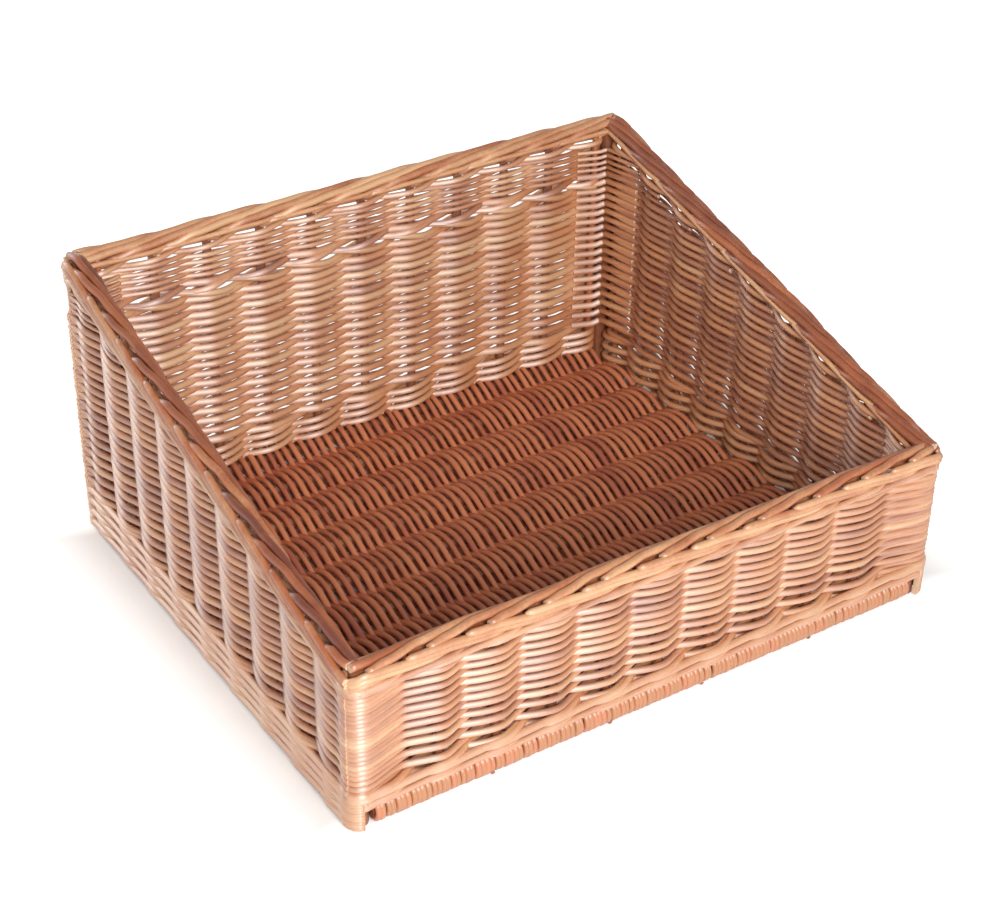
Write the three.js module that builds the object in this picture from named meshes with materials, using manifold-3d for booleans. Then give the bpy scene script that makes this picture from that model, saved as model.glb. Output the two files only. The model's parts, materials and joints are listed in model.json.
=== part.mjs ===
// Open willow basket with a low front, a high back and side rims that slope between them.
// Millimetres, +Z up, +X to the right and +Y to the back. The origin is the middle of the footprint.

import * as THREE from 'three';
import { mergeVertices } from 'three/addons/utils/BufferGeometryUtils.js';
import Module from 'manifold-3d';

const wasm = await Module();
wasm.setup();

// Overall sizes of the woven walls, and the heights of the rim above the floor
const basketWidth = 500;
const basketDepth = 425;
const backHeight = 240;
const frontHeight = 136;

// Rods
const stakeDiameter = 7;
const stakeTipDiameter = 4.4;
const weaverDiameter = 4.6;
const baseRodDiameter = 3.2;
const baseStickDiameter = 10;
const cornerPostDiameter = 12;

// How many stand in each run. A side stake goes between each two base sticks.
const longStakeCount = 11;
const firstStakeOffset = 14.1;
const baseStickCount = 10;

// Fits and seats
const clearance = 0.3;
const kinkRadius = 10;
const footLength = 34;
const taperLength = 4;
const tipRise = 0.6;
const socketDepth = 8.6;

// Randing relief: how far the rods swing either way, the height of a band, and the wale at the foot
const randingSwing = 1.9;
const bandPitch = 20;
const waleHeight = 10;
const waleSwell = 1;
const waleRound = 2;

// Border: two rods side by side with a third on top
const borderRodDiameter = 10;
const borderSpread = 4.6;
const borderTopRise = 3.4;
const borderSeatDrop = 2.6;
const borderOverhang = 2;
const borderBendRadius = 10;

// Floor relief: the weave crests over each base stick and dips between two
const floorCrestHalfWidth = 5;
const floorTroughHalfWidth = 6;

// Worked out from the sizes above
const stakeRadius = stakeDiameter / 2;
const tipRadius = stakeTipDiameter / 2;
const stickRadius = baseStickDiameter / 2;
const postRadius = cornerPostDiameter / 2;
const wallHalf = stakeRadius + weaverDiameter;
const wallSkin = wallHalf - randingSwing;
const crossingHalf = weaverDiameter / 2;
const cornerRadius = postRadius + clearance + weaverDiameter;
const postX = basketWidth / 2 - cornerRadius;
const postY = basketDepth / 2 - cornerRadius;
const rollRadius = stickRadius + baseRodDiameter;
const floorThickness = 2 * rollRadius;
const floorTroughDepth = rollRadius - baseRodDiameter;
const floorEdgeX = basketWidth / 2 - 2 * wallHalf - clearance;
const rollEndX = postX - postRadius - clearance;
const longStakeSpacing = (2 * (postX - firstStakeOffset)) / (longStakeCount - 1);
const stickSpan = basketDepth - 2 * wallHalf;
const stickSpacing = stickSpan / (baseStickCount - 1);
const sideStakeCount = baseStickCount - 1;
const borderHalf = borderSpread + borderRodDiameter / 2;
const borderBelow = borderSeatDrop + borderRodDiameter / 2;
const borderAbove = borderTopRise + borderRodDiameter / 2;
const borderHeight = borderBelow + borderAbove;
const borderX = basketWidth / 2 + borderOverhang - borderHalf;
const borderY = basketDepth / 2 + borderOverhang - borderHalf;
const slopeEnd = borderY - borderBendRadius;

// Facets: round pieces, corner turns
const rodSides = 6;
const stickSides = 8;
const postSides = 12;
const cornerSteps = 2;
const borderSides = 12;
const borderCornerSteps = 3;
const rollSteps = 4;
const flatness = 0.001;

// Heights along the depth: level over the front and back, a straight slope on the sides
function rimTop(y) {
  const share = (THREE.MathUtils.clamp(y, -slopeEnd, slopeEnd) + slopeEnd) / (2 * slopeEnd);
  return THREE.MathUtils.lerp(frontHeight, backHeight, share);
}

function wallTop(y) {
  return rimTop(y) - borderHeight - clearance;
}

function stakeTop(y) {
  return rimTop(y) - borderHeight + socketDepth;
}

function evenPlaces(count, spacing) {
  return Array.from({ length: count }, (_, i) => (i - (count - 1) / 2) * spacing);
}

// Each wall is drawn in its own frame, x along the wall and y outwards, and turned into its place.
const longPlaces = evenPlaces(longStakeCount, longStakeSpacing);
const sidePlaces = evenPlaces(sideStakeCount, stickSpacing);
const stickPlaces = evenPlaces(baseStickCount, stickSpacing);
const walls = [
  {
    name: 'back', turn: 0, length: basketWidth, reach: basketDepth / 2, places: longPlaces,
    kinked: false, depthAt: () => basketDepth / 2, foot: floorThickness + clearance,
  },
  {
    name: 'front', turn: Math.PI, length: basketWidth, reach: basketDepth / 2, places: longPlaces,
    kinked: false, depthAt: () => -basketDepth / 2, foot: floorThickness + clearance,
  },
  {
    name: 'left', turn: Math.PI / 2, length: basketDepth, reach: basketWidth / 2, places: sidePlaces,
    kinked: true, depthAt: (x) => x, foot: clearance,
  },
  {
    name: 'right', turn: -Math.PI / 2, length: basketDepth, reach: basketWidth / 2, places: sidePlaces,
    kinked: true, depthAt: (x) => -x, foot: clearance,
  },
];

// Closed meshes in and out of the boolean library

function toSolid(geometry) {
  const bare = new THREE.BufferGeometry();
  bare.setAttribute('position', geometry.getAttribute('position').clone());
  if (geometry.index) {
    bare.setIndex(geometry.index.clone());
  }
  const merged = mergeVertices(bare, 1e-4);
  const corners = merged.index.array;
  const triangles = [];
  for (let i = 0; i < corners.length; i += 3) {
    const [a, b, c] = [corners[i], corners[i + 1], corners[i + 2]];
    if (a !== b && b !== c && c !== a) {
      triangles.push(a, b, c);
    }
  }
  return new wasm.Manifold(new wasm.Mesh({
    numProp: 3,
    vertProperties: Float32Array.from(merged.attributes.position.array),
    triVerts: Uint32Array.from(triangles),
  }));
}

function toGeometry(solid) {
  const mesh = solid.getMesh();
  const geometry = new THREE.BufferGeometry();
  geometry.setAttribute('position', new THREE.BufferAttribute(mesh.vertProperties, 3));
  geometry.setIndex(new THREE.BufferAttribute(mesh.triVerts, 1));
  geometry.computeVertexNormals();
  return geometry;
}

function cut(geometry, cutters) {
  const solid = cutters.reduce((rest, cutter) => rest.subtract(toSolid(cutter)), toSolid(geometry));
  return toGeometry(solid.simplify(flatness));
}

function meshFrom(positions, index) {
  const geometry = new THREE.BufferGeometry();
  geometry.setAttribute('position', new THREE.Float32BufferAttribute(positions, 3));
  geometry.setIndex(index);
  return geometry;
}

// Rods

function roundSection(radius, sides, x = 0, y = 0) {
  const points = [];
  for (let i = 0; i < sides; i += 1) {
    const angle = (2 * Math.PI * (i + 0.5)) / sides;
    points.push(new THREE.Vector2(x + radius * Math.cos(angle), y + radius * Math.sin(angle)));
  }
  return points;
}

// The axis of a bent rod, with one section at each of its stops
class RodAxis extends THREE.Curve {
  constructor(stops) {
    super();
    this.stops = stops;
  }

  getPoint(t) {
    const place = t * (this.stops.length - 1);
    const i = Math.min(Math.floor(place), this.stops.length - 2);
    return this.stops[i].clone().lerp(this.stops[i + 1], place - i);
  }

  getPointAt(u) {
    return this.getPoint(u);
  }

  getTangentAt(u) {
    const i = Math.round(u * (this.stops.length - 1));
    const here = this.stops[i];
    const tangent = new THREE.Vector3();
    if (i > 0) {
      tangent.add(here.clone().sub(this.stops[i - 1]).normalize());
    }
    if (i < this.stops.length - 1) {
      tangent.add(this.stops[i + 1].clone().sub(here).normalize());
    }
    return tangent.normalize();
  }
}

// A stake of the front or back: round, with a thin slyped butt that goes down through the edge stick
function drivenStake(wall, x, grow, bottom, top) {
  const shoulder = floorThickness + clearance;
  const profile = [
    new THREE.Vector2(0, bottom),
    new THREE.Vector2(tipRadius + grow, bottom),
    new THREE.Vector2(tipRadius + grow, shoulder - grow),
    new THREE.Vector2(stakeRadius + grow, shoulder + taperLength - grow),
    new THREE.Vector2(stakeRadius + grow, top),
    new THREE.Vector2(0, top),
  ];
  const stake = new THREE.LatheGeometry(profile, rodSides);
  stake.rotateX(Math.PI / 2);
  stake.translate(x, wall.reach - wallHalf, 0);
  return stake;
}

// A stake of a side: its foot lies in the floor between two base sticks and kinks up into the wall
function kinkedStake(wall, x, grow, extraFoot, top) {
  const plane = wall.reach - wallHalf;
  const turn = (angle) => new THREE.Vector3(
    x,
    plane - kinkRadius * (1 - Math.sin(angle)),
    rollRadius + kinkRadius * (1 - Math.cos(angle)),
  );
  const axis = new RodAxis([
    new THREE.Vector3(x, plane - kinkRadius - footLength - extraFoot, rollRadius),
    turn(0),
    turn(Math.PI / 6),
    turn(Math.PI / 3),
    turn(Math.PI / 2),
    new THREE.Vector3(x, plane, top),
  ]);
  return new THREE.ExtrudeGeometry(new THREE.Shape(roundSection(stakeRadius + grow, rodSides)), {
    steps: axis.stops.length - 1,
    extrudePath: axis,
    bevelEnabled: false,
  });
}

function stakeSolid(wall, x, grow, overshoot) {
  const top = stakeTop(wall.depthAt(x)) + grow + overshoot;
  return wall.kinked
    ? kinkedStake(wall, x, grow, grow, top)
    : drivenStake(wall, x, grow, tipRise - overshoot, top);
}

function postSolid(x, y, grow, bottom, top) {
  const post = new THREE.CylinderGeometry(postRadius + grow, postRadius + grow, top - bottom, postSides);
  post.rotateX(Math.PI / 2);
  post.translate(x, y, (top + bottom) / 2);
  return post;
}

function turned(geometry, wall) {
  return geometry.clone().applyMatrix4(new THREE.Matrix4().makeRotationZ(wall.turn));
}

// Woven walls: a sheet that swells over each stake, swings to either side of it band by band, thins to
// one rod where the rods cross between two stakes, and turns half of each corner post

function wallLevels(wall) {
  const foot = wall.foot;
  const top = wallTop(wall.kinked ? basketDepth / 2 : wall.depthAt(0));
  const bands = Math.round((top - foot - waleHeight) / bandPitch);
  const pitch = (top - foot - waleHeight) / bands;
  const levels = [
    { z: foot, swing: 0, swell: 0, isWale: true },
    { z: foot + waleRound, swing: 0, swell: waleSwell, isWale: true },
    { z: foot + waleHeight - waleRound, swing: 0, swell: waleSwell, isWale: true },
    { z: foot + waleHeight, swing: 0, swell: 0, isWale: false },
  ];
  for (let band = 0; band < bands; band += 1) {
    const way = band % 2 === 0 ? 1 : -1;
    levels.push({
      z: foot + waleHeight + (band + 0.5) * pitch, swing: way * randingSwing, swell: 0, isWale: false,
    });
  }
  levels.push({ z: top, swing: 0, swell: 0, isWale: false });
  if (!wall.kinked) {
    levels.unshift({ z: clearance, swing: 0, swell: 0, isWale: true });
  }
  return levels;
}

function wallStations(wall) {
  const straight = wall.length / 2 - cornerRadius;
  const plane = wall.reach - wallHalf;
  const postDepth = plane + wallHalf - cornerRadius;
  const innerCorner = 2 * wallHalf - cornerRadius;
  const mitreGap = clearance / Math.SQRT2;
  const turnEnd = Math.PI / 4 - Math.asin(mitreGap / (Math.SQRT2 * cornerRadius));
  const stations = [];
  wall.places.forEach((x, i) => {
    const way = i % 2 === 0 ? 1 : -1;
    stations.push({ outer: [x, plane + wallSkin], inner: [x, plane - wallSkin], way, thinning: 0 });
    if (i < wall.places.length - 1) {
      const between = (x + wall.places[i + 1]) / 2;
      const thinning = wallSkin - crossingHalf;
      stations.push({ outer: [between, plane + wallSkin], inner: [between, plane - wallSkin], way: 0, thinning });
    }
  });
  for (const end of [-1, 1]) {
    const corner = [];
    for (let k = 0; k <= cornerSteps; k += 1) {
      const angle = (turnEnd * k) / cornerSteps;
      const inset = innerCorner * (1 - k / (cornerSteps + 1));
      corner.push({
        outer: [
          end * (straight + cornerRadius * Math.sin(angle)),
          postDepth + cornerRadius * Math.cos(angle),
        ],
        inner: [end * (straight - inset - mitreGap), postDepth - inset],
        way: 0,
        thinning: 0,
      });
    }
    if (end < 0) {
      stations.unshift(...corner.reverse());
    } else {
      stations.push(...corner);
    }
  }
  return stations;
}

function wovenSheet(wall) {
  const stations = wallStations(wall);
  const levels = wallLevels(wall);
  const positions = [];
  for (const { outer: [x, y], way, thinning } of stations) {
    for (const { z, swing, swell, isWale } of levels) {
      positions.push(x, y + way * swing + swell - (isWale ? 0 : thinning), z);
    }
  }
  for (const { inner: [x, y], way, thinning } of stations) {
    for (const { z, swing, isWale } of levels) {
      positions.push(x, y + way * swing + (isWale ? 0 : thinning), z);
    }
  }
  const across = levels.length;
  const outer = (i, j) => i * across + j;
  const inner = (i, j) => (stations.length + i) * across + j;
  const index = [];
  const quad = (a, b, c, d) => index.push(a, b, c, a, c, d);
  const lastStation = stations.length - 1;
  const lastLevel = across - 1;
  for (let i = 0; i < lastStation; i += 1) {
    for (let j = 0; j < lastLevel; j += 1) {
      quad(outer(i, j), outer(i, j + 1), outer(i + 1, j + 1), outer(i + 1, j));
      quad(inner(i, j), inner(i + 1, j), inner(i + 1, j + 1), inner(i, j + 1));
    }
    quad(outer(i, 0), outer(i + 1, 0), inner(i + 1, 0), inner(i, 0));
    quad(outer(i, lastLevel), inner(i, lastLevel), inner(i + 1, lastLevel), outer(i + 1, lastLevel));
  }
  for (let j = 0; j < lastLevel; j += 1) {
    quad(outer(0, j), inner(0, j), inner(0, j + 1), outer(0, j + 1));
    quad(outer(lastStation, j), outer(lastStation, j + 1), inner(lastStation, j + 1), inner(lastStation, j));
  }
  return meshFrom(positions, index);
}

// What a side wall loses above its sloping top
function aboveSlope(wall) {
  const reach = wall.length;
  const flip = wall.depthAt(1);
  const ceiling = 2 * backHeight;
  const corners = [-reach, -slopeEnd, slopeEnd, reach].map((y) => [y * flip, wallTop(y)]);
  corners.push([reach * flip, ceiling], [-reach * flip, ceiling]);
  const outline = new THREE.Shape(corners.map(([x, z]) => new THREE.Vector2(x, z)));
  const block = new THREE.ExtrudeGeometry(outline, { depth: 4 * wallHalf, bevelEnabled: false });
  block.rotateX(Math.PI / 2);
  block.translate(0, wall.reach + wallHalf, 0);
  return block;
}

// The room that the roll takes under the front and the back, between the turns round the posts
function rollRoom(wall) {
  const block = new THREE.BoxGeometry(2 * (rollEndX + clearance), 4 * wallHalf, 2 * wall.foot);
  block.translate(0, wall.reach - wallHalf, 0);
  return block;
}

function wallPiece(wall) {
  const cutters = wall.places.map((x) => stakeSolid(wall, x, clearance, clearance));
  const postDepth = wall.reach - cornerRadius;
  const straight = wall.length / 2 - cornerRadius;
  for (const end of [-1, 1]) {
    cutters.push(postSolid(end * straight, postDepth, clearance, -clearance, 2 * backHeight));
  }
  cutters.push(wall.kinked ? aboveSlope(wall) : rollRoom(wall));
  return cut(wovenSheet(wall), cutters);
}

// Floor: the base weave over and under the sticks, turned round the two edge sticks

function floorOutline() {
  const top = [];
  stickPlaces.forEach((y, i) => {
    if (i > 0) {
      const middle = y - stickSpacing / 2;
      top.push([middle - floorTroughHalfWidth, floorTroughDepth], [middle + floorTroughHalfWidth, floorTroughDepth]);
      top.push([y - floorCrestHalfWidth, 0]);
    }
    if (i < baseStickCount - 1) {
      top.push([y + floorCrestHalfWidth, 0]);
    }
  });
  const edge = stickPlaces[baseStickCount - 1];
  const outline = new THREE.Shape();
  outline.moveTo(-edge, floorThickness);
  top.forEach(([y, dip]) => outline.lineTo(y, floorThickness - dip));
  outline.lineTo(edge, floorThickness);
  outline.absarc(edge, rollRadius, rollRadius, Math.PI / 2, -Math.PI / 2, true);
  top.reverse().forEach(([y, dip]) => outline.lineTo(y, dip));
  outline.lineTo(-edge, 0);
  outline.absarc(-edge, rollRadius, rollRadius, -Math.PI / 2, -1.5 * Math.PI, true);
  for (const y of stickPlaces) {
    outline.holes.push(new THREE.Path(roundSection(stickRadius + clearance, stickSides, y, rollRadius)));
  }
  return outline;
}

// Extrudes an outline drawn in y and z along x, from -halfLength to halfLength
function alongWidth(outline, halfLength) {
  const geometry = new THREE.ExtrudeGeometry(outline, {
    depth: 2 * halfLength, bevelEnabled: false, curveSegments: rollSteps,
  });
  geometry.rotateY(Math.PI / 2);
  geometry.rotateX(Math.PI / 2);
  geometry.translate(-halfLength, 0, 0);
  return geometry;
}

// The rolls stop short of the corner posts, and the floor between them reaches the side walls
function rollTrim(end, side) {
  const length = floorEdgeX - rollEndX + clearance;
  const depth = basketDepth / 2 - postY + postRadius + 2 * clearance;
  const block = new THREE.BoxGeometry(length, depth, 2 * floorThickness);
  block.translate(
    end * (rollEndX + length / 2),
    side * (basketDepth / 2 + clearance - depth / 2),
    rollRadius,
  );
  return block;
}

function stakeCutters(overshoot, wanted) {
  return walls.filter(wanted).flatMap(
    (wall) => wall.places.map((x) => turned(stakeSolid(wall, x, clearance, overshoot), wall)),
  );
}

function floorPiece() {
  const trims = [-1, 1].flatMap((end) => [-1, 1].map((side) => rollTrim(end, side)));
  return cut(alongWidth(floorOutline(), floorEdgeX), [...trims, ...stakeCutters(clearance + tipRise, () => true)]);
}

function baseStick(y, isEdge) {
  const outline = new THREE.Shape(roundSection(stickRadius, stickSides, y, rollRadius));
  const stick = alongWidth(outline, isEdge ? rollEndX : floorEdgeX);
  return isEdge ? cut(stick, stakeCutters(clearance + tipRise, (wall) => !wall.kinked)) : toGeometry(toSolid(stick));
}

// Border: a closed sweep of three rods' joined outline round the rim

function borderSection() {
  const rodRadius = borderRodDiameter / 2;
  const rods = [[-borderSpread, -borderSeatDrop], [borderSpread, -borderSeatDrop], [0, borderTopRise]];
  const points = [];
  for (let i = 0; i < borderSides; i += 1) {
    const angle = (2 * Math.PI * i) / borderSides - Math.PI / 2;
    const ray = [Math.cos(angle), Math.sin(angle)];
    const reach = rods.map(([x, z]) => {
      const along = x * ray[0] + z * ray[1];
      const off = x * x + z * z - along * along;
      return off < rodRadius ** 2 ? along + Math.sqrt(rodRadius ** 2 - off) : 0;
    });
    const far = Math.max(...reach);
    points.push([far * ray[0], far * ray[1]]);
  }
  return points;
}

function borderStations() {
  const stations = [];
  const corners = [[1, 1, 0], [-1, 1, 1], [-1, -1, 2], [1, -1, 3]];
  for (const [sx, sy, quarter] of corners) {
    for (let k = 0; k <= borderCornerSteps; k += 1) {
      const angle = (Math.PI / 2) * (quarter + k / borderCornerSteps);
      const out = [Math.cos(angle), Math.sin(angle)];
      stations.push({
        x: sx * (borderX - borderBendRadius) + borderBendRadius * out[0],
        y: sy * (borderY - borderBendRadius) + borderBendRadius * out[1],
        out,
      });
    }
  }
  return stations;
}

function borderPiece() {
  const section = borderSection();
  const stations = borderStations();
  const positions = [];
  for (const { x, y, out } of stations) {
    const middle = rimTop(y) - borderAbove;
    for (const [across, up] of section) {
      positions.push(x + out[0] * across, y + out[1] * across, middle + up);
    }
  }
  const index = [];
  stations.forEach((_, i) => {
    const next = (i + 1) % stations.length;
    for (let k = 0; k < borderSides; k += 1) {
      const beside = (k + 1) % borderSides;
      const [a, b] = [i * borderSides + k, i * borderSides + beside];
      const [c, d] = [next * borderSides + beside, next * borderSides + k];
      index.push(a, c, b, a, d, c);
    }
  });
  const posts = cornerPlaces.map(({ x, y }) => postSolid(x, y, clearance, 0, stakeTop(y) + clearance));
  return cut(meshFrom(positions, index), [...stakeCutters(0, () => true), ...posts]);
}

// The assembly

const cornerPlaces = [
  { name: 'back_left', x: -postX, y: postY },
  { name: 'back_right', x: postX, y: postY },
  { name: 'front_left', x: -postX, y: -postY },
  { name: 'front_right', x: postX, y: -postY },
];

const willow = (color, roughness) => () => new THREE.MeshStandardMaterial({ color, roughness, metalness: 0 });
const stakeWillow = willow(0xa8693a, 0.6);
const postWillow = willow(0xb9773f, 0.55);
const stickWillow = willow(0x8f5530, 0.65);
const wallWillow = willow(0xd9a066, 0.6);
const floorWillow = willow(0x9a5a36, 0.65);
const borderWillow = willow(0xbe7740, 0.5);

function piece(name, geometry, material) {
  const mesh = new THREE.Mesh(geometry, material());
  mesh.name = name;
  return mesh;
}

const basket = new THREE.Group();

for (const wall of walls) {
  const side = new THREE.Group();
  side.rotation.z = wall.turn;
  side.add(piece(`${wall.name}_wall_weave`, wallPiece(wall), wallWillow));
  wall.places.forEach((x, i) => {
    const stake = toGeometry(toSolid(stakeSolid(wall, x, 0, 0)));
    side.add(piece(`${wall.name}_stake_${i + 1}`, stake, stakeWillow));
  });
  basket.add(side);
}

for (const { name, x, y } of cornerPlaces) {
  const post = toGeometry(toSolid(postSolid(x, y, 0, 0, stakeTop(y))));
  basket.add(piece(`corner_post_${name}`, post, postWillow));
}

stickPlaces.forEach((y, i) => {
  const isEdge = i === 0 || i === baseStickCount - 1;
  basket.add(piece(`base_stick_${i + 1}`, baseStick(y, isEdge), stickWillow));
});

basket.add(piece('base_weave', floorPiece(), floorWillow));
basket.add(piece('border', borderPiece(), borderWillow));

export default basket;
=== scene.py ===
import json
import math
import random

import bmesh
import bpy
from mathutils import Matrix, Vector, noise

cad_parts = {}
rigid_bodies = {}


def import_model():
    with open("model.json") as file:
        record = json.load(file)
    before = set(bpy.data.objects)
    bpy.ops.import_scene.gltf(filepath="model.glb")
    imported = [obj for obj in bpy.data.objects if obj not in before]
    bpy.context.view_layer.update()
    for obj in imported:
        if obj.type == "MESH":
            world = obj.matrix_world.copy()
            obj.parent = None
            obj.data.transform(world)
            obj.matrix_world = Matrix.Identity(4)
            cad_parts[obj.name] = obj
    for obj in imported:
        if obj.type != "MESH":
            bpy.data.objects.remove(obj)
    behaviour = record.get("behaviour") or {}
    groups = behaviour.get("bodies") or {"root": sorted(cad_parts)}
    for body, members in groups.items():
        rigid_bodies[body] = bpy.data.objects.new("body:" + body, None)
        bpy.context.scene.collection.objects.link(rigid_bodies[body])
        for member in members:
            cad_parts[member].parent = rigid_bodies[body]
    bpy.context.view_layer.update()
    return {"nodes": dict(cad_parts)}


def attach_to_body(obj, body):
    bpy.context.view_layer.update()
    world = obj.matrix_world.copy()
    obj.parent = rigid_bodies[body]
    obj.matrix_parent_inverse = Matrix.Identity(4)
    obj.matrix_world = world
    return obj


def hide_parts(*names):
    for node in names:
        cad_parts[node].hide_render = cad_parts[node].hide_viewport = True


for leftover in list(bpy.data.objects):
    bpy.data.objects.remove(leftover)

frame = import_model()
print("frame loaded")

random.seed(41)
mm = 0.001
stakeGap = 45.0


# the basket's own sizes, in millimetres, as the CAD frame has them
basket = {
    "longWallMiddle": 204.4,    # distance of the front and back walls' stakes from the centre
    "sideWallMiddle": 241.9,    # and of the side walls' stakes
    "postX": 239.1,             # the corner posts' middles
    "postY": 201.6,
    "longStakes": [stakeGap * k for k in range(-5, 6)],
    "sideStakes": [45.42 * k for k in range(-4, 5)],
    "baseSticks": [45.42 * (k - 4.5) for k in range(10)],
    "frontHeight": 136.0,
    "backHeight": 240.0,
    "slopeEnd": 194.9,          # the side rims slope between this far in front and this far behind
}


def clamp(value, least=0.0, most=1.0):
    return min(most, max(least, value))


def rimTop(y):
    t = clamp((y + basket["slopeEnd"]) / (2 * basket["slopeEnd"]))
    return basket["frontHeight"] + t * (basket["backHeight"] - basket["frontHeight"])


def wander(x, y, z, size):
    # smooth noise between about -1 and 1 that is the same on each run
    return noise.noise(Vector((x / size, y / size, z / size)))


def linearColour(hexText):
    # sRGB hex to the linear values that Blender's sockets take
    values = []
    for k in (0, 2, 4):
        c = int(hexText[k:k + 2], 16) / 255
        values.append(c / 12.92 if c <= 0.04045 else ((c + 0.055) / 1.055) ** 2.4)
    return (*values, 1.0)


def addNode(tree, kind, settings=None, links=None):
    # one node with its settings; a link is socket: (node, output)
    node = tree.nodes.new(kind)
    for key, value in (settings or {}).items():
        if isinstance(key, str) and hasattr(node, key) and key not in node.inputs:
            setattr(node, key, value)
        else:
            node.inputs[key].default_value = value
    for key, (source, output) in (links or {}).items():
        tree.links.new(source.outputs[output], node.inputs[key])
    return node


# Willow: the noise scales are per metre
skin = {
    "blotchScale": 38.0,      # darker stain every 26 mm along a rod
    "blotchShare": 0.7,
    "speckScale": 420.0,      # streaks and specks 2.4 mm apart
    "speckShare": 0.3,
    "stakeScale": 9.0,        # stakes differ from each other over 110 mm
    "bumpStrength": 0.2,
    "bumpHeight": 0.4 * mm,
    "shineTurn": 0.25,        # a quarter turn from along the rod
}


def willow(name, dark, middle, light, roughness, ior=1.75, level=1.0, anisotropy=0.7, isRod=True):
    # buff willow: the bark's tannin stained it orange-brown before it was peeled,
    # which leaves a waxy, lightly streaked skin that takes a broad pale highlight
    material = bpy.data.materials.new(name)
    material.use_nodes = True
    tree = material.node_tree
    tree.nodes.clear()
    coords = addNode(tree, "ShaderNodeTexCoord")
    place = {"Vector": (coords, "Object")}
    blotch = addNode(tree, "ShaderNodeTexNoise", {"Scale": skin["blotchScale"], "Detail": 3.0}, place)
    speck = addNode(tree, "ShaderNodeTexNoise", {"Scale": skin["speckScale"], "Detail": 2.0}, place)
    if isRod:
        shade = addNode(tree, "ShaderNodeAttribute", {"attribute_name": "shade"})
    else:
        shade = addNode(tree, "ShaderNodeTexNoise", {"Scale": skin["stakeScale"], "Detail": 1.0}, place)
    # the rod's own shade, with each noise's share added half above and half below it
    total = (shade, "Fac")
    for pattern, share in ((blotch, skin["blotchShare"]), (speck, skin["speckShare"])):
        part = addNode(tree, "ShaderNodeMath", {"operation": "MULTIPLY_ADD", 1: share, 2: -share / 2},
                       {0: (pattern, "Fac")})
        both = addNode(tree, "ShaderNodeMath", {"operation": "ADD", "use_clamp": pattern is speck},
                       {0: (part, 0), 1: total})
        total = (both, 0)
    ramp = addNode(tree, "ShaderNodeValToRGB", None, {"Fac": total})
    ramp.color_ramp.elements[0].position = 0.0
    ramp.color_ramp.elements[0].color = linearColour(dark)
    ramp.color_ramp.elements[1].position = 1.0
    ramp.color_ramp.elements[1].color = linearColour(light)
    ramp.color_ramp.elements.new(0.5).color = linearColour(middle)
    grain = addNode(tree, "ShaderNodeBump",
                    {"Strength": skin["bumpStrength"], "Distance": skin["bumpHeight"]},
                    {"Height": (speck, "Fac")})
    shader = addNode(tree, "ShaderNodeBsdfPrincipled",
                     {"Roughness": roughness, "IOR": ior, "Specular IOR Level": level},
                     {"Base Color": (ramp, "Color"), "Normal": (grain, "Normal")})
    if isRod:
        # the fibres run along the rod, so its shine spreads round it more than along it
        across = addNode(tree, "ShaderNodeTangent", {"direction_type": "UV_MAP", "uv_map": "UVMap"})
        shader.inputs["Anisotropic"].default_value = anisotropy
        shader.inputs["Anisotropic Rotation"].default_value = skin["shineTurn"]
        tree.links.new(across.outputs[0], shader.inputs["Tangent"])
    addNode(tree, "ShaderNodeOutputMaterial", None, {"Surface": (shader, "BSDF")})
    return material


# the walls: light rods whose waxy skin shines most where they stand out between the stakes
rodWillow = willow("willow rod, buffed", "A25A30", "CC8650", "E0AE7C", 0.54, ior=2.2, anisotropy=0.75)
# the floor: rods redder and darker than the walls', partly by their own colour and partly as painted shade
# for the basket's shaded inside; they are tan where they turn round the edge sticks
baseWillow = willow("willow rod, buffed, redder, partly painted shade", "AA583E", "D07E54", "BE8052", 0.45, level=0.8)
# the border: dark and pale strands side by side, the outer ones paler partly by their own tone and partly
# as painted light on their outward faces
# the front and back rims are painted lighter than the side rims, as painted light and shade
borderWillow = willow("willow rod, steamed and bent", "783418", "B46232", "E4B080", 0.48, level=0.9,
                      anisotropy=0.6)
# the stakes, sticks and posts: thicker wood, duller than the rods woven round them, and darker as painted
# shade for where they show in shadow between the weavers
stakeWillowPaintedShade = willow("willow stake, buffed, darkened as painted shade", "6A3820", "8E5232", "B07A50", 0.5, level=0.5, isRod=False)
# the ends: bare wood that the stain never reached, pale and matt
cutWillow = willow("willow, knife-cut end", "C99E78", "E4C09C", "F2DDBB", 0.6, level=0.5, isRod=False)
print("willow mixed")


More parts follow.
